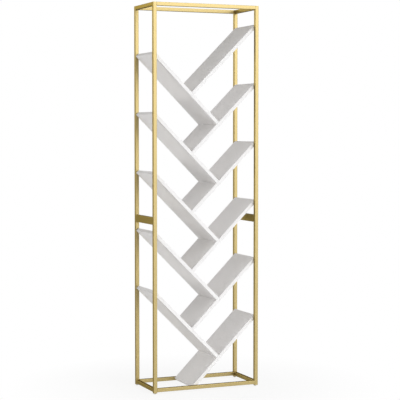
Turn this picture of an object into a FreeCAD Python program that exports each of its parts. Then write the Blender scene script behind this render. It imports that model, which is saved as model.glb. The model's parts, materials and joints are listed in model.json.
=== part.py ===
import FreeCAD, Part
import Sketcher
import os
import re

# A tall open bookcase. Two upright rectangles of gold square tube, one in front and
# one behind, are held apart by short side rails. Eleven white boards stand between
# them at 45 degrees in a herringbone: left boards fall to the right, right boards fall
# to the left, and each one butts squarely on the face of the next, down to a last
# board whose toe stands between the bottom rails. Origin: middle of the footprint on
# the floor, +Z up, the front towards -Y. All lengths are millimetres.

SIZES = {
    # Outline of the frame
    "overall_height": 1800.0,
    "overall_width": 530.0,
    "overall_depth": 254.0,
    "foot_height": 4.5,
    "rail_rise": 4.5,
    # Square tube
    "tube_side": 17.0,
    "tube_wall": 1.2,
    "tube_corner": 1.5,
    "end_plate": 3.0,
    "mid_bar_height": 34.0,
    # Boards
    "board_thickness": 16.0,
    "board_inset": 2.0,
    "board_ease": 0.6,
    "head_room": 98.0,
    "split_rise": 59.0,
    # Gap round a plug, pin, screw or dowel in its seat, and round a thread
    "fit_gap": 0.1,
    "thread_gap": 0.05,
    # Spigots that join the upper posts to the lower ones
    "spigot_length": 80.0,
    # Levelling feet and the sockets that they screw into
    "pad_diameter": 14.0,
    "pad_edge": 0.8,
    "stem_diameter": 6.0,
    "stem_length": 15.0,
    "socket_length": 7.5,
    # Pins in front and bolts behind that hold the side rails
    "rail_pin_diameter": 6.0,
    "rail_pin_grip": 10.0,
    "rail_pin_tail": 2.5,
    "rail_bolt_grip": 14.0,
    "bolt_head_diameter": 10.0,
    "bolt_head_height": 4.0,
    "head_gap": 0.5,
    # Pins in front and screws behind that carry the boards' outer ends
    "board_pin_diameter": 4.0,
    "board_pin_setback": 6.0,
    "board_pin_grip": 15.0,
    "board_pin_tail": 5.0,
    "board_screw_grip": 30.0,
    "screw_head_diameter": 7.0,
    "screw_head_height": 2.5,
    # Dowels of the butt joints: their grip in the face, the rest of them in the end
    "dowel_diameter": 8.0,
    "dowel_length": 30.0,
    "dowel_grip": 10.0,
    "dowel_inset": 45.0,
    # How much deeper a blind hole is than what goes into it
    "hole_relief": 1.0,
}

LEFT_BOARDS = 5
RIGHT_BOARDS = 6
UPPER_LEFT_BOARDS = 3
UPPER_RIGHT_BOARDS = 4

doc = FreeCAD.newDocument("bookcase")
sheet = doc.addObject("Spreadsheet::Sheet", "sizes")
for row, (alias, value) in enumerate(SIZES.items(), start=1):
    sheet.set(f"A{row}", alias)
    sheet.set(f"B{row}", str(value))
    sheet.setAlias(f"B{row}", alias)
doc.recompute()


# Sizes that follow from the sheet. Each is an expression in the sheet's aliases.

LEFT_POST = "(0 - overall_width / 2)"
RIGHT_POST = "(overall_width / 2 - tube_side)"
FRONT_POST = "(0 - overall_depth / 2)"
REAR_POST = "(overall_depth / 2 - tube_side)"
BETWEEN_DEPTH = "(overall_depth - 2 * tube_side)"
BETWEEN_WIDTH = "(overall_width - 2 * tube_side)"
BETWEEN_FRONT = f"({FRONT_POST} + tube_side)"
RAIL_BOTTOM = "(foot_height + rail_rise)"
RAIL_TOP = f"({RAIL_BOTTOM} + tube_side)"
MIDDLE = "(tube_side / 2)"
BORE = "(tube_side - 2 * tube_wall)"
PLUG = "(tube_side - 2 * tube_wall - 2 * fit_gap)"
PLUG_INSET = "(tube_wall + fit_gap)"
WALL_CUT = "(2 * tube_wall)"

# The boards share the height between the bottom rails and the head room. A board's run
# is half the clear span and a quarter of a pitch, so that each end lands on the next.
SPAN = "(overall_width - 2 * board_inset - board_thickness * sqrt(2))"
PITCH = f"((overall_height - head_room - {RAIL_BOTTOM} - {SPAN} / 2) / ({LEFT_BOARDS} + 1 / 4))"
RUN = f"(({SPAN} + {PITCH} / 2) / 2)"
BOARD_LENGTH = f"({RUN} * sqrt(2))"
LANDING = f"(({SPAN} - {PITCH} / 2) / sqrt(2) + board_thickness / 2)"
MID_BOARD = "(board_thickness / 2)"
DOWEL_PLACES = ("dowel_inset", f"({BETWEEN_DEPTH} - dowel_inset)")

# A pin in a board's end, measured across and up from the end's lower corner
PIN_ACROSS = "((board_pin_setback + board_thickness / 2) / sqrt(2))"
PIN_UP = "((board_thickness / 2 - board_pin_setback) / sqrt(2))"


def left_corner(number):
    """Height of a left board's outer lower corner."""
    return f"({RAIL_BOTTOM} + {RUN} + {PITCH} * ({LEFT_BOARDS - number} + 1 / 2))"


def right_corner(number):
    """Height of a right board's outer lower corner, half a pitch above the left one."""
    return f"({RAIL_BOTTOM} + {RUN} + {PITCH} * {RIGHT_BOARDS - number})"


SPLIT = f"({left_corner(UPPER_LEFT_BOARDS + 1)} + split_rise)"

NODES = []


# Helpers for bodies, sketches and features

def cells(text):
    """Put the sheet's name before every alias in an expression."""
    return re.sub(r"(?<![\w.])[a-z_]+",
                  lambda word: "sizes." + word.group() if word.group() in SIZES else word.group(),
                  text)


def place(item, x, y, z, axis=(0, 1, 0), angle=0):
    """Bind an object's place to expressions, after a fixed turn about one axis."""
    turn = FreeCAD.Rotation(FreeCAD.Vector(*axis), angle)
    item.Placement = FreeCAD.Placement(FreeCAD.Vector(0, 0, 0), turn)
    item.setExpression(".Placement.Base.x", cells(x))
    item.setExpression(".Placement.Base.y", cells(y))
    item.setExpression(".Placement.Base.z", cells(z))


def new_body(label):
    body = doc.addObject("PartDesign::Body", label)
    body.Label = label
    NODES.append(body)
    return body


def new_sketch(body, role, offset="0"):
    """A sketch on one of the body's own origin planes, moved along the plane's normal."""
    sketch = body.newObject("Sketcher::SketchObject", body.Name + "_sketch")
    plane = [item for item in body.Origin.OriginFeatures if item.Role == role][0]
    sketch.AttachmentSupport = [(plane, "")]
    sketch.MapMode = "FlatFace"
    sketch.setExpression(".AttachmentOffset.Base.z", cells(offset))
    return sketch


def bind(sketch, kind, places, text):
    """Add a size to a sketch and bind it to an expression."""
    index = sketch.addConstraint(Sketcher.Constraint(kind, *places, 1.0))
    name = f"size{index}"
    sketch.renameConstraint(index, name)
    sketch.setExpression("Constraints." + name, cells(text))


def anchor(sketch, geometry, point, x, y):
    """Tie a point to the sketch's origin by its two distances."""
    if x == "0":
        sketch.addConstraint(Sketcher.Constraint("PointOnObject", geometry, point, -2))
    else:
        bind(sketch, "DistanceX", (-1, 1, geometry, point), x)
    if y == "0":
        sketch.addConstraint(Sketcher.Constraint("PointOnObject", geometry, point, -1))
    else:
        bind(sketch, "DistanceY", (-1, 1, geometry, point), y)


def rectangle(sketch, x, y, width, height):
    """A rectangle, drawn as a unit square that its bound sizes then stretch."""
    corners = [FreeCAD.Vector(1, 1, 0), FreeCAD.Vector(2, 1, 0),
               FreeCAD.Vector(2, 2, 0), FreeCAD.Vector(1, 2, 0)]
    first = sketch.GeometryCount
    for index in range(4):
        sketch.addGeometry(Part.LineSegment(corners[index], corners[(index + 1) % 4]), False)
    for index in range(4):
        after = first + (index + 1) % 4
        sketch.addConstraint(Sketcher.Constraint("Coincident", first + index, 2, after, 1))
    for index, kind in enumerate(("Horizontal", "Vertical", "Horizontal", "Vertical")):
        sketch.addConstraint(Sketcher.Constraint(kind, first + index))
    anchor(sketch, first, 1, x, y)
    bind(sketch, "DistanceX", (first, 1, first, 2), width)
    bind(sketch, "DistanceY", (first + 1, 1, first + 1, 2), height)


def circle(sketch, x, y, radius):
    """A circle, drawn at unit size and then stretched by its bound sizes."""
    centre = FreeCAD.Vector(1, 1, 0)
    index = sketch.addGeometry(Part.Circle(centre, FreeCAD.Vector(0, 0, 1), 1), False)
    anchor(sketch, index, 3, x, y)
    bind(sketch, "Radius", (index,), radius)


def extrude(body, kind, sketch, length, backwards=False):
    """A pad or pocket of a sketch, its length bound to an expression."""
    feature = body.newObject("PartDesign::" + kind, body.Name + "_" + kind)
    feature.Profile = sketch
    feature.Reversed = backwards
    feature.setExpression("Length", cells(length))
    body.Tip = feature
    return feature


def drill(body, role, offset, holes, depth, backwards=False):
    """Round holes of one depth, each given by two distances and a radius."""
    if holes:
        sketch = new_sketch(body, role, offset)
        for x, y, radius in holes:
            circle(sketch, x, y, radius)
        extrude(body, "Pocket", sketch, depth, backwards)


def edge_names(feature, test):
    """Names of the edges of a feature that pass a test."""
    doc.recompute()
    numbered = enumerate(feature.Shape.Edges, start=1)
    return [f"Edge{index}" for index, edge in numbered if test(edge, feature.Shape.BoundBox)]


def dress(body, kind, feature, names, size_name, size):
    """A fillet or chamfer of named edges."""
    dressing = body.newObject("PartDesign::" + kind, body.Name + "_" + kind)
    dressing.Base = (feature, names)
    dressing.setExpression(size_name, cells(size))
    body.Tip = dressing


# Two places closer than this share of a piece's diagonal are the same place
SAME_SHARE = 1e-6


def is_same(value, target, box):
    return abs(value - target) < SAME_SHARE * box.DiagonalLength


def is_outer_corner(edge, box):
    """True for an edge along z at a corner of the box."""
    start, end = edge.Vertexes[0].Point, edge.Vertexes[-1].Point
    is_upright = is_same(start.x, end.x, box) and is_same(start.y, end.y, box)
    is_at_x = is_same(start.x, box.XMin, box) or is_same(start.x, box.XMax, box)
    is_at_y = is_same(start.y, box.YMin, box) or is_same(start.y, box.YMax, box)
    return is_upright and is_at_x and is_at_y


def is_across(edge, box):
    """True for an edge that doesn't run along y."""
    start, end = edge.Vertexes[0].Point, edge.Vertexes[-1].Point
    return is_same(start.y, end.y, box)


def is_low(edge, box):
    """True for an edge that lies in the lowest plane."""
    return is_same(edge.BoundBox.ZMax, box.ZMin, box)


# Tubes. Each runs along its own z axis, from one corner of its section.

def tube(label, length, height="tube_side", lids=(), lid="tube_wall"):
    body = new_body(label)
    section = new_sketch(body, "XY_Plane")
    rectangle(section, "0", "0", "tube_side", height)
    rectangle(section, "tube_wall", "tube_wall", BORE, f"({height} - 2 * tube_wall)")
    wall = extrude(body, "Pad", section, length)
    dress(body, "Fillet", wall, edge_names(wall, is_outer_corner), "Radius", "tube_corner")
    for offset, backwards in lids:
        plate = new_sketch(body, "XY_Plane", offset)
        rectangle(plate, "tube_wall", "tube_wall", BORE, f"({height} - 2 * tube_wall)")
        extrude(body, "Pad", plate, lid, backwards)
    return body


def drill_front(body, holes):
    """Holes in the wall that faces the boards from in front."""
    drill(body, "XZ_Plane", "(0 - tube_side)", holes, WALL_CUT, True)


def drill_rear(body, holes):
    """Holes in the wall that faces the boards from behind, each with a wider hole for
    the head in the wall behind it."""
    drill(body, "XZ_Plane", "0", [(x, z, shank) for x, z, shank, head in holes], WALL_CUT)
    drill(body, "XZ_Plane", "(0 - tube_side)", [(x, z, head) for x, z, shank, head in holes],
          WALL_CUT, True)


RAIL_PIN_HOLE = "(rail_pin_diameter / 2 + fit_gap)"
BOARD_PIN_HOLE = "(board_pin_diameter / 2 + fit_gap)"
DOWEL_HOLE = "(dowel_diameter / 2 + fit_gap)"
BOLT_ACCESS = "(bolt_head_diameter / 2 + head_gap)"
SCREW_ACCESS = "(screw_head_diameter / 2 + head_gap)"


def post_holes(is_left, corners, rail_heights, base):
    """Places of the board pins and of the side rail pins on one post."""
    reach = f"(board_inset + {PIN_ACROSS})"
    across = reach if is_left else f"(tube_side - {reach})"
    holes = [(across, f"({corner} + {PIN_UP} - {base})", BOARD_PIN_HOLE, SCREW_ACCESS)
             for corner in corners]
    holes += [(MIDDLE, f"({height} - {base})", RAIL_PIN_HOLE, BOLT_ACCESS)
              for height in rail_heights]
    return holes


def post(level, depth_side, width_side):
    is_left = width_side == "left"
    is_lower = level == "lower"
    base = "foot_height" if is_lower else SPLIT
    top = SPLIT if is_lower else "overall_height"
    length = f"({top} - {base})"
    corner = left_corner if is_left else right_corner
    count = LEFT_BOARDS if is_left else RIGHT_BOARDS
    upper = UPPER_LEFT_BOARDS if is_left else UPPER_RIGHT_BOARDS
    numbers = range(upper + 1, count + 1) if is_lower else range(1, upper + 1)
    if is_lower:
        rail_heights = (f"({RAIL_BOTTOM} + {MIDDLE})", f"({SPLIT} - {MIDDLE})")
        lids = ()
    else:
        rail_heights = (f"({SPLIT} + {MIDDLE})", f"(overall_height - {MIDDLE})")
        lids = ((length, True),)
    body = tube(f"post_{level}_{depth_side}_{width_side}", length, lids=lids)
    holes = post_holes(is_left, [corner(number) for number in numbers], rail_heights, base)
    if depth_side == "front":
        drill_front(body, [hole[:3] for hole in holes])
    else:
        drill_rear(body, holes)
    place(body, LEFT_POST if is_left else RIGHT_POST,
          FRONT_POST if depth_side == "front" else REAR_POST, base)


for level in ("lower", "upper"):
    for depth_side in ("front", "rear"):
        for width_side in ("left", "right"):
            post(level, depth_side, width_side)


# Rails from left to right, welded between the posts. The toe of the lowest board is
# pinned between the two bottom ones.

TOE_ALONG = f"({BETWEEN_WIDTH} + tube_side - board_inset - {RUN} - {PIN_UP})"
TOE_DOWN = f"(tube_side - {PIN_ACROSS})"

for level, top in (("bottom", RAIL_TOP), ("top", "overall_height")):
    for depth_side, y in (("front", FRONT_POST), ("rear", REAR_POST)):
        rail = tube(f"rail_{level}_{depth_side}", BETWEEN_WIDTH)
        if level == "bottom":
            toe = (TOE_DOWN, TOE_ALONG, BOARD_PIN_HOLE, SCREW_ACCESS)
            if depth_side == "front":
                drill_front(rail, [toe[:3]])
            else:
                drill_rear(rail, [toe])
        place(rail, f"({LEFT_POST} + tube_side)", y, top, (0, 1, 0), 90)


# Rails from front to rear, with a drilled plate in each end. The bar at mid height is
# twice as tall and bridges the joint between the lower and the upper posts.

def side_rail(label, x, top, height, drops):
    lids = (("0", False), (BETWEEN_DEPTH, True))
    rail = tube(label, BETWEEN_DEPTH, height, lids, "end_plate")
    drill(rail, "XY_Plane", "0", [(MIDDLE, drop, RAIL_PIN_HOLE) for drop in drops],
          BETWEEN_DEPTH, True)
    place(rail, x, BETWEEN_FRONT, top, (1, 0, 0), -90)


MID_DROPS = ("(mid_bar_height / 2 - tube_side / 2)", "(mid_bar_height / 2 + tube_side / 2)")

for width_side, x in (("left", LEFT_POST), ("right", RIGHT_POST)):
    side_rail(f"rail_bottom_{width_side}", x, RAIL_TOP, "tube_side", (MIDDLE,))
    side_rail(f"rail_top_{width_side}", x, "overall_height", "tube_side", (MIDDLE,))
    side_rail(f"mid_bar_{width_side}", x, f"({SPLIT} + mid_bar_height / 2)", "mid_bar_height",
              MID_DROPS)


# Spigots inside the posts at the joint, feet under them and the feet's sockets

def plug(label, length):
    body = new_body(label)
    section = new_sketch(body, "XY_Plane")
    rectangle(section, "0", "0", PLUG, PLUG)
    extrude(body, "Pad", section, length)
    return body


for depth_side, y in (("front", FRONT_POST), ("rear", REAR_POST)):
    for width_side, x in (("left", LEFT_POST), ("right", RIGHT_POST)):
        spigot = plug(f"spigot_{depth_side}_{width_side}", "spigot_length")
        heights = [f"(spigot_length / 2 {sign} {MIDDLE})" for sign in ("-", "+")]
        if depth_side == "front":
            drill(spigot, "XZ_Plane", f"(0 - {PLUG})",
                  [(f"({PLUG} / 2)", height, RAIL_PIN_HOLE) for height in heights],
                  "(rail_pin_tail + hole_relief)", True)
        else:
            drill(spigot, "XZ_Plane", "0",
                  [(f"({PLUG} / 2)", height, BOLT_ACCESS) for height in heights], PLUG)
        place(spigot, f"({x} + {PLUG_INSET})", f"({y} + {PLUG_INSET})",
              f"({SPLIT} - spigot_length / 2)")

        socket = plug(f"socket_{depth_side}_{width_side}", "socket_length")
        drill(socket, "XY_Plane", "0",
              [(f"({PLUG} / 2)", f"({PLUG} / 2)", "(stem_diameter / 2 + thread_gap)")],
              "socket_length", True)
        place(socket, f"({x} + {PLUG_INSET})", f"({y} + {PLUG_INSET})", "foot_height")

        foot = new_body(f"foot_{depth_side}_{width_side}")
        pad = new_sketch(foot, "XY_Plane")
        circle(pad, "0", "0", "(pad_diameter / 2)")
        disc = extrude(foot, "Pad", pad, "foot_height")
        dress(foot, "Chamfer", disc, edge_names(disc, is_low), "Size", "pad_edge")
        stem = new_sketch(foot, "XY_Plane", "foot_height")
        circle(stem, "0", "0", "(stem_diameter / 2)")
        extrude(foot, "Pad", stem, "stem_length")
        place(foot, f"({x} + {MIDDLE})", f"({y} + {MIDDLE})", "0")


# Boards. A left board starts at its outer end and runs down to the right, a right
# board starts at its inner end and runs up to the right. Its own z goes through its
# thickness from the lower face.

def board_origin(side, number):
    if side == "left":
        return f"({LEFT_POST} + board_inset)", left_corner(number)
    x = f"({RIGHT_POST} + tube_side - board_inset - {RUN})"
    return x, f"({right_corner(number)} - {RUN})"


def from_outer_end(side, distance):
    return distance if side == "left" else f"({BOARD_LENGTH} - {distance})"


def from_inner_end(side, distance):
    return f"({BOARD_LENGTH} - {distance})" if side == "left" else distance


def board(side, number, is_landed_on, lands):
    body = new_body(f"board_{side}_{number}")
    is_left = side == "left"
    profile = new_sketch(body, "XZ_Plane")
    rectangle(profile, "0", "0", BOARD_LENGTH, "board_thickness")
    slab = extrude(body, "Pad", profile, BETWEEN_DEPTH, True)
    dress(body, "Chamfer", slab, edge_names(slab, is_across), "Size", "board_ease")

    ends = [from_outer_end(side, "board_pin_setback")]
    if not lands:
        ends.append(from_inner_end(side, "board_pin_setback"))
    pins = [(end, MID_BOARD, BOARD_PIN_HOLE) for end in ends]
    drill(body, "XZ_Plane", "0", pins, "(board_pin_grip + hole_relief)")
    drill(body, "XZ_Plane", f"(0 - {BETWEEN_DEPTH})", pins, "(board_screw_grip + hole_relief)",
          True)

    if lands:
        drill(body, "YZ_Plane", BOARD_LENGTH if is_left else "0",
              [(y, MID_BOARD, DOWEL_HOLE) for y in DOWEL_PLACES],
              "(dowel_length - dowel_grip + hole_relief)", not is_left)
    if is_landed_on:
        landing = from_outer_end(side, LANDING)
        drill(body, "XY_Plane", "board_thickness",
              [(landing, y, DOWEL_HOLE) for y in DOWEL_PLACES], "(dowel_grip + hole_relief)")

    x, z = board_origin(side, number)
    place(body, x, BETWEEN_FRONT, z, (0, 1, 0), 45 if is_left else -45)


for number in range(1, LEFT_BOARDS + 1):
    board("left", number, True, True)
for number in range(1, RIGHT_BOARDS + 1):
    board("right", number, number > 1, number < RIGHT_BOARDS)


# Fasteners. Like ones are one node.

def round_bar(name, radius, length, x, y, z, axis, angle):
    bar = doc.addObject("Part::Cylinder", name)
    bar.setExpression("Radius", cells(radius))
    bar.setExpression("Height", cells(length))
    place(bar, x, y, z, axis, angle)
    return bar


def union(name, pieces):
    joined = doc.addObject("Part::MultiFuse", name)
    joined.Shapes = pieces
    return joined


def node_of(label, pieces):
    group = union(label, pieces)
    group.Label = label
    NODES.append(group)


TO_REAR = ((1, 0, 0), -90)
TO_FRONT = ((1, 0, 0), 90)
FRONT_SEAT = f"({BETWEEN_FRONT} - tube_wall)"
REAR_SEAT = f"({REAR_POST} + tube_wall)"


def front_pin(name, diameter, tail, grip, x, z):
    return round_bar(name, f"({diameter} / 2)", f"({tail} + tube_wall + {grip})",
                     x, f"({FRONT_SEAT} - {tail})", z, *TO_REAR)


def rear_screw(name, diameter, grip, head_diameter, head_height, x, z):
    shank = round_bar(name + "_shank", f"({diameter} / 2)", f"(tube_wall + {grip})",
                      x, REAR_SEAT, z, *TO_FRONT)
    head = round_bar(name + "_head", f"({head_diameter} / 2)", head_height,
                     x, REAR_SEAT, z, *TO_REAR)
    return union(name, [shank, head])


def outer_pin_places():
    """Where the frame carries the boards: their outer ends and the lowest one's toe."""
    reach = f"(board_inset + {PIN_ACROSS})"
    places = [(f"({LEFT_POST} + {reach})", f"({left_corner(number)} + {PIN_UP})")
              for number in range(1, LEFT_BOARDS + 1)]
    places += [(f"({RIGHT_POST} + tube_side - {reach})", f"({right_corner(number)} + {PIN_UP})")
               for number in range(1, RIGHT_BOARDS + 1)]
    places.append((f"({LEFT_POST} + tube_side + {TOE_ALONG})", f"({RAIL_TOP} - {TOE_DOWN})"))
    return places


def rail_pin_places():
    heights = (f"({RAIL_BOTTOM} + {MIDDLE})", f"({SPLIT} - {MIDDLE})",
               f"({SPLIT} + {MIDDLE})", f"(overall_height - {MIDDLE})")
    return [(f"({x} + {MIDDLE})", z) for x in (LEFT_POST, RIGHT_POST) for z in heights]


node_of("rail_pins", [
    front_pin(f"rail_pin_{index}", "rail_pin_diameter", "rail_pin_tail", "rail_pin_grip", x, z)
    for index, (x, z) in enumerate(rail_pin_places())])
node_of("rail_bolts", [
    rear_screw(f"rail_bolt_{index}", "rail_pin_diameter", "rail_bolt_grip",
               "bolt_head_diameter", "bolt_head_height", x, z)
    for index, (x, z) in enumerate(rail_pin_places())])
node_of("board_pins", [
    front_pin(f"board_pin_{index}", "board_pin_diameter", "board_pin_tail", "board_pin_grip", x, z)
    for index, (x, z) in enumerate(outer_pin_places())])
node_of("board_screws", [
    rear_screw(f"board_screw_{index}", "board_pin_diameter", "board_screw_grip",
               "screw_head_diameter", "screw_head_height", x, z)
    for index, (x, z) in enumerate(outer_pin_places())])


def board_point(side, number, along, through):
    """Global x and z of a point given by a board's own x and z."""
    x, z = board_origin(side, number)
    total = f"({along} + {through}) / sqrt(2)"
    if side == "left":
        return f"({x} + {total})", f"({z} + ({through} - {along}) / sqrt(2))"
    return f"({x} + ({along} - {through}) / sqrt(2))", f"({z} + {total})"


def dowel(side, number, depth_side, y):
    """A dowel across a butt joint, from inside one board into the face of the next."""
    is_left = side == "left"
    start = f"({BOARD_LENGTH} - dowel_length + dowel_grip)" if is_left else "(0 - dowel_grip)"
    x, z = board_point(side, number, start, MID_BOARD)
    return round_bar(f"dowel_{side}_{number}_{depth_side}", "(dowel_diameter / 2)",
                     "dowel_length", x, f"({BETWEEN_FRONT} + {y})", z,
                     (0, 1, 0), 135 if is_left else 45)


node_of("dowels", [
    dowel(side, number, depth_side, y)
    for side in ("left", "right")
    for number in range(1, LEFT_BOARDS + 1)
    for depth_side, y in zip(("front", "rear"), DOWEL_PLACES)])


# Build, check and write

doc.recompute()
for item in doc.Objects:
    if "Invalid" in item.State or "Error" in item.State:
        raise RuntimeError(f"{item.Name} did not build: {item.State}")
for node in NODES:
    if node.Shape.isNull() or not node.Shape.isValid():
        raise RuntimeError(f"{node.Label} has no valid shape")

os.makedirs("parts", exist_ok=True)
for node in NODES:
    node.Shape.exportStep(os.path.join("parts", node.Label + ".step"))
print(len(NODES), "pieces written")
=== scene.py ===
import json
import math

import bmesh
import bpy
from mathutils import Matrix, Vector


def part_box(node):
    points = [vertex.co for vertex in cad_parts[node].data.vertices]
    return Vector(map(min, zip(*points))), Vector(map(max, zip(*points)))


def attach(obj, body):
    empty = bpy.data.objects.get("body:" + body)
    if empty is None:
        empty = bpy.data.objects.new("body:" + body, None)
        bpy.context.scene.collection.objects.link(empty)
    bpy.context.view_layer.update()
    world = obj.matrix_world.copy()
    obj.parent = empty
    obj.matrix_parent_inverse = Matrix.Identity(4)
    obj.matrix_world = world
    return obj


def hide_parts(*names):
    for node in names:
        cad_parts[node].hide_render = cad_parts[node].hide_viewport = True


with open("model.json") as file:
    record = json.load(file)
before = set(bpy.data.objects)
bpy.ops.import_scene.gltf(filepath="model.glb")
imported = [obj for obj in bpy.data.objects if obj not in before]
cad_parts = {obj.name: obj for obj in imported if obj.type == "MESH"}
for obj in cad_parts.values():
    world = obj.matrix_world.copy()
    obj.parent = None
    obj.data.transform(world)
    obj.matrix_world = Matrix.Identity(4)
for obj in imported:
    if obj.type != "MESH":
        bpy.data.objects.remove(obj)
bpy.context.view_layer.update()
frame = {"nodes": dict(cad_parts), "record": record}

# The looks of a tall herringbone bookcase. Lengths are metres, in the frame of the packed
# model: +Z up, the front towards -Y, the origin in the middle of the footprint.

# Sizes of the frame and the boards that the pieces built here fit
BOARD_THICKNESS = 0.016
BOARD_PIN_SETBACK = 0.006
BAND_THICKNESS = 0.0008
BAND_SEAM = 0.0002
TUBE_WALL = 0.0012
LOWEST_BOARD = "board_right_6"

# Levelling feet
FOOT_HEIGHT = 0.0045
STEM_RADIUS = 0.003
STEM_PITCH = 0.001
STEM_THREAD_DEPTH = 0.00045
STEM_SIDES = 24
PAD_RADIUS = 0.007
PAD_RIBS = 30
PAD_RIB_DEPTH = 0.00025
PAD_SIDES_PER_RIB = 6

# Bolts and screws: radius, length, head radius, head height and thread pitch
RAIL_BOLT = (0.003, 0.0152, 0.005, 0.004, 0.001)
BOARD_SCREW = (0.002, 0.0312, 0.0035, 0.0025, 0.0014)
FASTENER_SIDES = 24
THREAD_STEPS_PER_TURN = 6
THREAD_DEPTH_SHARE = 0.16
THREAD_START_SHARE = 0.02
DOME_SHARE = 0.35
DOME_STEPS = 4
SOCKET_SHARE = 0.5
SOCKET_DEPTH_SHARE = 0.6
SOCKET_TAPER = 0.98

# The camera: its place, its turn to the right of straight ahead, its tilt down and its lens
CAMERA_PLACE = (-2.3617, -5.6073, 1.2094)
CAMERA_YAW = math.radians(23.006)
CAMERA_PITCH = math.radians(3.038)
CAMERA_LENS = 115.6
SENSOR_WIDTH = 36.0
CAMERA_REACH = 100.0

# Levels of light, where 1 shows a colour as it is written. The surround is white to the camera
# and in reflections, and lights the object at a lower level.
SURROUND_LEVEL = 0.41
SEEN_LEVEL = 1.0

# Distant lamps: name, heading, elevation and spread in degrees, and level. A heading counts
# to the right of straight in front.
DISTANT_LAMPS = (
    ("key", 26.0, 23.5, 60.0, 0.61),
    ("rim", -156.0, 13.0, 20.0, 0.12),
    ("back", 135.0, 10.0, 30.0, 0.2),
)
LAMP_DISTANCE = 6.0

# A near lamp, low on the left: name, place, target, size and level
NEAR_LAMP = ("low", (-3.2, -0.6, 0.25), (0.0, 0.0, 1.0), 1.2, 0.21)

# The floor, and how much of its shadow is kept within a radius
FLOOR_RADIUS = 30.0
FLOOR_SIDES = 96
FLOOR_ROUGHNESS = 0.9
SHADOW_RADIUS = 0.9
SHADOW_CORE_SHARE = 0.4
SHADOW_SHARE = 0.14

# Colours, as a screen shows them
GOLD = (0.668, 0.602, 0.418)
GOLD_DARK = (0.638, 0.566, 0.367)
GOLD_WORN = (0.724, 0.663, 0.49)
WHITE_FACE = (0.922, 0.915, 0.911)
# The edge band's white, lighter than the faces partly as a painted highlight of the lit front
# edges
WHITE_EDGE_AND_HIGHLIGHT = (0.953, 0.95, 0.949)
WHITE_CLOUD = (0.87, 0.862, 0.85)
WHITE_WORN = (0.84, 0.83, 0.8)
WHITE_SEAM = (0.74, 0.73, 0.7)
PAD_GREY = (0.88, 0.88, 0.87)
PAD_CLOUD = (0.82, 0.82, 0.81)
STEEL = (0.7, 0.7, 0.71)
STEEL_DULL = (0.58, 0.58, 0.57)
BEECH = (0.8, 0.66, 0.48)
BEECH_DARK = (0.66, 0.5, 0.33)
FLOOR = (0.93, 0.93, 0.93)
PURE_WHITE = (1.0, 1.0, 1.0, 1.0)

# The curve of a screen: how far it is straight and how steep it is there, and the offset and
# the power of the rest
SCREEN_STRAIGHT = 0.04045
SCREEN_SLOPE = 12.92
SCREEN_OFFSET = 0.055
SCREEN_POWER = 2.4

# Finishes. Scales are per metre. A share says how far a tone goes towards the next one, a
# relief is a height and a strength, and a roughness is its lowest and highest value.
NOISE_DETAIL = 3.0
NOISE_LOW = 0.3
NOISE_HIGH = 0.7
ARRIS_RADIUS = 0.0008
ARRIS_SAMPLES = 4
ARRIS_COSINE = 0.9

GOLD_CLOUD_SCALE = 9.0
GOLD_CLOUD_SHARE = 0.16
GOLD_GRAIN_SCALE = 1400.0
GOLD_GRAIN_DETAIL = 4.0
GOLD_RELIEF = (0.00002, 0.15)
GOLD_ROUGHNESS = (0.34, 0.44)
GOLD_WORN_SHARE = 0.22
GOLD_GRAZING = (0.02, 0.014, 0.008, 1.0)

BOARD_CLOUD_SCALE = 6.0
BOARD_CLOUD_SHARE = 0.05
BOARD_PEEL_SCALE = 900.0
BOARD_RELIEF = (0.00002, 0.08)
BOARD_ROUGHNESS = (0.56, 0.66)
BOARD_WORN_SHARE = 0.12
BOARD_SEAM_SHARE = 0.6
BOARD_SPECULAR = 0.1
# Which faces take the edge band's lighter tone, by how far they point to the front or back; that
# tone is partly a painted highlight
BAND_AND_HIGHLIGHT_FACING = (0.5, 0.9)

PAD_CLOUD_SCALE = 120.0
PAD_CLOUD_SHARE = 0.3
PAD_SKIN_SCALE = 2600.0
PAD_RELIEF = (0.00003, 0.4)
PAD_ROUGHNESS = (0.55, 0.7)

STEEL_CRYSTAL_SCALE = 700.0
STEEL_DULL_SHARE = 0.35
STEEL_RELIEF = (0.00002, 0.3)
STEEL_ROUGHNESS = (0.26, 0.42)

BEECH_STRETCH = (60.0, 900.0, 60.0)
BEECH_GRAIN_DETAIL = 6.0
BEECH_RELIEF = (0.0001, 0.4)
BEECH_ROUGHNESS = (0.65, 0.75)


# Shader nodes

def linear(colour):
    """A colour as a screen shows it, as the light values that shaders take."""
    return [channel / SCREEN_SLOPE if channel <= SCREEN_STRAIGHT
            else ((channel + SCREEN_OFFSET) / (1 + SCREEN_OFFSET)) ** SCREEN_POWER
            for channel in colour] + [1.0]


def new_material(name):
    material = bpy.data.materials.new(name)
    material.use_nodes = True
    tree = material.node_tree
    return material, tree, tree.nodes["Principled BSDF"]


def add(tree, kind, **values):
    """A node, with its properties or its sockets' values set by name."""
    node = tree.nodes.new("ShaderNode" + kind)
    for key, value in values.items():
        if hasattr(node, key):
            setattr(node, key, value)
        else:
            node.inputs[key.replace("_", " ")].default_value = value
    return node


def coordinates(tree, stretch=(1.0, 1.0, 1.0)):
    """Places in the object's own frame, in metres, stretched along each axis."""
    source = add(tree, "TexCoord")
    mapping = add(tree, "Mapping", Scale=stretch)
    tree.links.new(source.outputs["Object"], mapping.inputs["Vector"])
    return mapping.outputs["Vector"]


def noise(tree, vector, scale, detail=NOISE_DETAIL):
    node = add(tree, "TexNoise", Scale=scale, Detail=detail)
    tree.links.new(vector, node.inputs["Vector"])
    return node.outputs["Fac"]


def math_node(tree, operation, *inputs):
    """A sum on values, each a number or another node's output."""
    node = add(tree, "Math", operation=operation)
    for socket, value in zip(node.inputs, inputs):
        if isinstance(value, (int, float)):
            socket.default_value = value
        else:
            tree.links.new(value, socket)
    return node.outputs["Value"]


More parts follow.
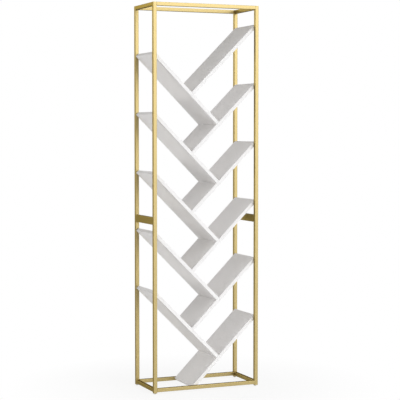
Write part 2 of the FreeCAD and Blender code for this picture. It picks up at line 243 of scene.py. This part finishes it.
def remap(tree, value, low, high, to_low, to_high):
    node = add(tree, "MapRange")
    for index, number in enumerate((low, high, to_low, to_high), start=1):
        node.inputs[index].default_value = number
    tree.links.new(value, node.inputs["Value"])
    return node.outputs["Result"]


def spread(tree, value, to_low, to_high):
    """A noise's usual values, spread over a range."""
    return remap(tree, value, NOISE_LOW, NOISE_HIGH, to_low, to_high)


def mix(tree, factor, first, second):
    """A blend of two colours, the first a screen colour or another node's output."""
    node = add(tree, "Mix", data_type="RGBA")
    factor_socket, first_socket, second_socket = node.inputs[0], node.inputs[6], node.inputs[7]
    tree.links.new(factor, factor_socket)
    if isinstance(first, tuple):
        first_socket.default_value = linear(first)
    else:
        tree.links.new(first, first_socket)
    second_socket.default_value = linear(second)
    return node.outputs[2]


def axis_part(tree, vector, axis):
    """The size of a vector along one axis."""
    parts = add(tree, "SeparateXYZ")
    tree.links.new(vector, parts.inputs["Vector"])
    return math_node(tree, "ABSOLUTE", parts.outputs[axis])


def arris_mask(tree):
    """Near 1 where a surface turns, as along an edge, and 0 on flats."""
    rounded = add(tree, "Bevel", samples=ARRIS_SAMPLES, Radius=ARRIS_RADIUS)
    plain = add(tree, "NewGeometry")
    dot = add(tree, "VectorMath", operation="DOT_PRODUCT")
    tree.links.new(rounded.outputs["Normal"], dot.inputs[0])
    tree.links.new(plain.outputs["Normal"], dot.inputs[1])
    return remap(tree, dot.outputs["Value"], 1.0, ARRIS_COSINE, 0.0, 1.0)


def skin(tree, shader, tone, texture, roughness, relief):
    """Colour a surface, and let one fine texture vary its roughness and its relief."""
    tree.links.new(tone, shader.inputs["Base Color"])
    tree.links.new(spread(tree, texture, *roughness), shader.inputs["Roughness"])
    distance, strength = relief
    node = add(tree, "Bump", Strength=strength, Distance=distance)
    tree.links.new(texture, node.inputs["Height"])
    tree.links.new(node.outputs["Normal"], shader.inputs["Normal"])


# Materials

def gold_material():
    """Satin gold coat on steel tube: a fine grain, slow clouds of tone, worn edges."""
    material, tree, shader = new_material("gold_coat")
    place = coordinates(tree)
    clouds = spread(tree, noise(tree, place, GOLD_CLOUD_SCALE), 0.0, GOLD_CLOUD_SHARE)
    tone = mix(tree, clouds, GOLD, GOLD_DARK)
    worn = remap(tree, arris_mask(tree), 0.0, 1.0, 0.0, GOLD_WORN_SHARE)
    tone = mix(tree, worn, tone, GOLD_WORN)
    grain = noise(tree, place, GOLD_GRAIN_SCALE, GOLD_GRAIN_DETAIL)
    skin(tree, shader, tone, grain, GOLD_ROUGHNESS, GOLD_RELIEF)
    shader.inputs["Metallic"].default_value = 1.0
    shader.inputs["Specular Tint"].default_value = GOLD_GRAZING
    return material


def board_material():
    """White melamine with a fine orange peel, and a band glued round its edges whose lighter tone
    is partly a painted highlight.
    """
    material, tree, shader = new_material("white_melamine")
    place = coordinates(tree)
    normal = add(tree, "NewGeometry").outputs["Normal"]
    # Faces that point to the front or back take a lighter tone: a real edge band, and partly a
    # painted highlight of edges that face the key lamp
    band_and_highlight = remap(tree, axis_part(tree, normal, "Y"), *BAND_AND_HIGHLIGHT_FACING, 0.0, 1.0)
    tone = mix(tree, band_and_highlight, WHITE_FACE, WHITE_EDGE_AND_HIGHLIGHT)
    clouds = spread(tree, noise(tree, place, BOARD_CLOUD_SCALE), 0.0, BOARD_CLOUD_SHARE)
    tone = mix(tree, clouds, tone, WHITE_CLOUD)
    worn = remap(tree, arris_mask(tree), 0.0, 1.0, 0.0, BOARD_WORN_SHARE)
    tone = mix(tree, worn, tone, WHITE_WORN)
    glue_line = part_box(LOWEST_BOARD)[1].y - BAND_THICKNESS
    seam = math_node(tree, "COMPARE", axis_part(tree, place, "Y"), glue_line, BAND_SEAM / 2)
    tone = mix(tree, remap(tree, seam, 0.0, 1.0, 0.0, BOARD_SEAM_SHARE), tone, WHITE_SEAM)
    peel = noise(tree, place, BOARD_PEEL_SCALE)
    skin(tree, shader, tone, peel, BOARD_ROUGHNESS, BOARD_RELIEF)
    shader.inputs["Specular IOR Level"].default_value = BOARD_SPECULAR
    return material


def plastic_material():
    """Moulded grey plastic with a matte, slightly uneven skin."""
    material, tree, shader = new_material("grey_plastic")
    place = coordinates(tree)
    clouds = spread(tree, noise(tree, place, PAD_CLOUD_SCALE), 0.0, PAD_CLOUD_SHARE)
    tone = mix(tree, clouds, PAD_GREY, PAD_CLOUD)
    skin(tree, shader, tone, noise(tree, place, PAD_SKIN_SCALE), PAD_ROUGHNESS, PAD_RELIEF)
    return material


def steel_material():
    """Zinc-plated steel: bright, with small crystals and faint dull patches."""
    material, tree, shader = new_material("zinc_steel")
    crystals = noise(tree, coordinates(tree), STEEL_CRYSTAL_SCALE)
    tone = mix(tree, spread(tree, crystals, 0.0, STEEL_DULL_SHARE), STEEL, STEEL_DULL)
    skin(tree, shader, tone, crystals, STEEL_ROUGHNESS, STEEL_RELIEF)
    shader.inputs["Metallic"].default_value = 1.0
    return material


def beech_material():
    """Bare beech, with a fine long grain."""
    material, tree, shader = new_material("bare_beech")
    grain = noise(tree, coordinates(tree, BEECH_STRETCH), 1.0, BEECH_GRAIN_DETAIL)
    tone = mix(tree, spread(tree, grain, 0.0, 1.0), BEECH, BEECH_DARK)
    skin(tree, shader, tone, grain, BEECH_ROUGHNESS, BEECH_RELIEF)
    return material


materials = {
    "gold_metal": gold_material(),
    "white_board": board_material(),
    "foot_plastic": plastic_material(),
    "bare_steel": steel_material(),
    "dowel_wood": beech_material(),
}


def dress_node(node, slot):
    """Give a carried-over node the material of its slot."""
    mesh = frame["nodes"][node].data
    if not mesh.materials:
        mesh.materials.append(materials[slot])
    for index in range(len(mesh.materials)):
        mesh.materials[index] = materials[slot]


for subpart in frame["record"]["subparts"]:
    dress_node(subpart["node"], subpart["material_slot"])


# Turned pieces: rings of points round an axis, bridged into a skin

def circle(radius):
    return lambda angle: radius


def hexagon(half_width):
    def radius_at(angle):
        turn = math.pi / 3
        return half_width / math.cos((angle + turn / 2) % turn - turn / 2)
    return radius_at


def ring(radius_at, height, count):
    """Points round the z axis, at a radius that depends on the angle."""
    points = []
    for index in range(count):
        angle = 2 * math.pi * index / count
        radius = radius_at(angle)
        points.append(Vector((radius * math.cos(angle), radius * math.sin(angle), height)))
    return points


def thread_rings(radius, depth, pitch, low, high, count):
    """A rod with a helical thread cut into it, tapered where it starts and ends."""
    steps = max(2, round((high - low) / pitch * THREAD_STEPS_PER_TURN))
    rings = []
    for step in range(steps + 1):
        height = low + (high - low) * step / steps
        fade = min(1.0, (height - low) / pitch, (high - height) / pitch)

        def radius_at(angle, height=height, fade=fade):
            phase = (height / pitch - angle / (2 * math.pi)) % 1.0
            return radius - depth * fade * abs(2 * phase - 1)

        rings.append(ring(radius_at, height, count))
    return rings


def sides(points):
    """Each point of a ring with the one after it."""
    return zip(points, points[1:] + points[:1])


def skin_of_rings(mesh, rings, place):
    """Bridge rings of points into a closed skin, with ends that meet at their middles."""
    made = [[mesh.verts.new(place @ point) for point in points] for points in rings]
    for lower, upper in zip(made, made[1:]):
        for (first, second), (above_first, above_second) in zip(sides(lower), sides(upper)):
            mesh.faces.new((first, second, above_second, above_first))
    for end in (made[0], made[-1]):
        middle = mesh.verts.new(sum((vert.co for vert in end), Vector()) / len(end))
        for first, second in sides(end):
            mesh.faces.new((first, second, middle))


def finish_piece(name, mesh, slot, body, node):
    """Turn a bmesh into a piece that rides on a body and stands for a node."""
    bmesh.ops.recalc_face_normals(mesh, faces=mesh.faces)
    data = bpy.data.meshes.new(name)
    mesh.to_mesh(data)
    mesh.free()
    data.materials.append(materials[slot])
    piece = bpy.data.objects.new(name, data)
    bpy.context.scene.collection.objects.link(piece)
    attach(piece, body)
    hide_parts(node)


# Levelling feet: a ribbed pad that turns a threaded stem

def ribbed(angle):
    return PAD_RADIUS - PAD_RIB_DEPTH * (0.5 + 0.5 * math.cos(PAD_RIBS * angle))


def pad_rings():
    edge = PAD_RIB_DEPTH * 2
    heights = (
        (circle(PAD_RADIUS - edge * 2), 0.0),
        (circle(PAD_RADIUS - edge), edge / 2),
        (ribbed, edge * 2),
        (ribbed, FOOT_HEIGHT - edge * 2),
        (circle(PAD_RADIUS - edge), FOOT_HEIGHT - edge / 2),
        (circle(PAD_RADIUS - edge * 2), FOOT_HEIGHT),
    )
    count = PAD_RIBS * PAD_SIDES_PER_RIB
    return [ring(radius_at, height, count) for radius_at, height in heights]


def foot(where):
    node = "foot_" + where
    low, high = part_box(node)
    place = Matrix.Translation(((low.x + high.x) / 2, (low.y + high.y) / 2, low.z))
    stem_rings = thread_rings(STEM_RADIUS, STEM_THREAD_DEPTH, STEM_PITCH,
                              FOOT_HEIGHT, high.z - low.z, STEM_SIDES)
    for kind, slot, rings in (("pad_", "foot_plastic", pad_rings()),
                              ("stem_", "bare_steel", stem_rings)):
        mesh = bmesh.new()
        skin_of_rings(mesh, rings, place)
        finish_piece(kind + where, mesh, slot, "leveller_" + where, node)


for where in ("front_left", "front_right", "rear_left", "rear_right"):
    foot(where)


# Bolts and screws in the rear posts: a domed head with a hexagon socket, a threaded shank

def fastener_rings(radius, length, head_radius, head_height, pitch):
    """One fastener along +z: its shank from 0 to its length, its head below 0."""
    socket = head_radius * SOCKET_SHARE
    socket_floor = head_height * (SOCKET_DEPTH_SHARE - 1)
    dome = head_height * DOME_SHARE
    profile = [
        (hexagon(socket * SOCKET_TAPER), socket_floor),
        (hexagon(socket), -head_height),
    ]
    for step in range(DOME_STEPS + 1):
        turn = math.pi / 2 * step / DOME_STEPS
        profile.append((circle(head_radius - dome * (1 - math.sin(turn))),
                        dome * (1 - math.cos(turn)) - head_height))
    profile += [(circle(head_radius), 0.0), (circle(radius), 0.0)]
    rings = [ring(radius_at, height, FASTENER_SIDES) for radius_at, height in profile]
    return rings + thread_rings(radius, radius * THREAD_DEPTH_SHARE, pitch,
                                length * THREAD_START_SHARE, length, FASTENER_SIDES)


def centre_of(node):
    low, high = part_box(node)
    return (low + high) / 2


def rail_bolt_places():
    """Centres of the side rails' ends, and two on each mid bar, one over the other."""
    places = []
    for side in ("left", "right"):
        low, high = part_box("mid_bar_" + side)
        quarter = Vector((0, 0, (high.z - low.z) / 4))
        middle = centre_of("mid_bar_" + side)
        places += [centre_of("rail_bottom_" + side), middle - quarter, middle + quarter,
                   centre_of("rail_top_" + side)]
    return places


def board_screw_places():
    """Places of the screws in the boards' outer ends and in the lowest board's toe."""
    inset = (BOARD_PIN_SETBACK + BOARD_THICKNESS / 2) / math.sqrt(2)
    places = []
    for node in sorted(frame["nodes"]):
        if not node.startswith(("board_left_", "board_right_")):
            continue
        low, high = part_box(node)
        outer = low.x + inset if node.startswith("board_left_") else high.x - inset
        places.append(Vector((outer, 0, high.z - inset)))
        if node == LOWEST_BOARD:
            places.append(Vector((low.x + inset, 0, low.z + inset)))
    return places


def fasteners(name, node, places, sizes):
    """All the fasteners of one kind, heads to the rear, as one piece."""
    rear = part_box("post_lower_rear_left")[0].y + TUBE_WALL
    turn = Matrix.Rotation(math.pi / 2, 4, "X")
    mesh = bmesh.new()
    for point in places:
        place = Matrix.Translation((point.x, rear, point.z)) @ turn
        skin_of_rings(mesh, fastener_rings(*sizes), place)
    finish_piece(name, mesh, "bare_steel", "bookcase", node)


fasteners("rail_bolts_threaded", "rail_bolts", rail_bolt_places(), RAIL_BOLT)
fasteners("board_screws_threaded", "board_screws", board_screw_places(), BOARD_SCREW)


# Studio: a white ground that keeps a faint shadow, a white surround and soft lamps

def seen_rays(tree):
    """1 for the rays that show a background: the camera's, and those in gloss and glass."""
    path = add(tree, "LightPath")
    seen = math_node(tree, "MAXIMUM", path.outputs["Is Camera Ray"], path.outputs["Is Glossy Ray"])
    return math_node(tree, "MAXIMUM", seen, path.outputs["Is Transmission Ray"])


def white_world():
    world = bpy.data.worlds.new("surround")
    bpy.context.scene.world = world
    world.use_nodes = True
    tree = world.node_tree
    background = tree.nodes["Background"]
    background.inputs["Color"].default_value = PURE_WHITE
    strength = remap(tree, seen_rays(tree), 0.0, 1.0, SURROUND_LEVEL, SEEN_LEVEL)
    tree.links.new(strength, background.inputs["Strength"])


def floor_material():
    """Pale paint that the camera sees as white, but for a share of the shadow on it."""
    material, tree, shader = new_material("floor_paint")
    shader.inputs["Base Color"].default_value = linear(FLOOR)
    shader.inputs["Roughness"].default_value = FLOOR_ROUGHNESS
    glow = add(tree, "Emission", Strength=SEEN_LEVEL)
    glow.inputs["Color"].default_value = PURE_WHITE
    length = add(tree, "VectorMath", operation="LENGTH")
    tree.links.new(coordinates(tree), length.inputs[0])
    far = remap(tree, length.outputs["Value"], SHADOW_RADIUS * SHADOW_CORE_SHARE, SHADOW_RADIUS,
                1.0 - SHADOW_SHARE, 1.0)
    blend = add(tree, "MixShader")
    tree.links.new(math_node(tree, "MULTIPLY", seen_rays(tree), far), blend.inputs["Fac"])
    tree.links.new(shader.outputs["BSDF"], blend.inputs[1])
    tree.links.new(glow.outputs["Emission"], blend.inputs[2])
    tree.links.new(blend.outputs["Shader"], tree.nodes["Material Output"].inputs["Surface"])
    return material


def white_floor():
    mesh = bmesh.new()
    bmesh.ops.create_circle(mesh, cap_ends=True, segments=FLOOR_SIDES, radius=FLOOR_RADIUS)
    data = bpy.data.meshes.new("floor")
    mesh.to_mesh(data)
    mesh.free()
    data.materials.append(floor_material())
    floor = bpy.data.objects.new("floor", data)
    bpy.context.scene.collection.objects.link(floor)


def place_lamp(name, light, location, towards_light):
    lamp = bpy.data.objects.new(name, light)
    bpy.context.scene.collection.objects.link(lamp)
    lamp.location = location
    lamp.rotation_euler = towards_light.to_track_quat("Z", "Y").to_euler()


def distant_lamp(name, heading, elevation, spread_angle, level):
    """Soft light from far away."""
    light = bpy.data.lights.new(name, "SUN")
    light.angle = math.radians(spread_angle)
    light.energy = level * math.pi
    turn, lift = math.radians(heading), math.radians(elevation)
    flat = math.cos(lift)
    towards_light = Vector((math.sin(turn) * flat, -math.cos(turn) * flat, math.sin(lift)))
    place_lamp(name, light, LAMP_DISTANCE * towards_light, towards_light)


def near_lamp(name, place, target, size, level):
    """A square soft lamp, set for its level of light at the target."""
    light = bpy.data.lights.new(name, "AREA")
    light.shape = "SQUARE"
    light.size = size
    towards_light = Vector(place) - Vector(target)
    light.energy = level * (math.pi * towards_light.length) ** 2
    place_lamp(name, light, place, towards_light)


def photograph_camera():
    data = bpy.data.cameras.new("camera")
    data.lens = CAMERA_LENS
    data.sensor_width = SENSOR_WIDTH
    data.clip_end = CAMERA_REACH
    camera = bpy.data.objects.new("camera", data)
    bpy.context.scene.collection.objects.link(camera)
    camera.location = CAMERA_PLACE
    camera.rotation_euler = (math.pi / 2 - CAMERA_PITCH, 0.0, -CAMERA_YAW)
    bpy.context.scene.camera = camera


white_world()
white_floor()
for lamp in DISTANT_LAMPS:
    distant_lamp(*lamp)
near_lamp(*NEAR_LAMP)
photograph_camera()
bpy.context.scene.view_settings.view_transform = "Standard"
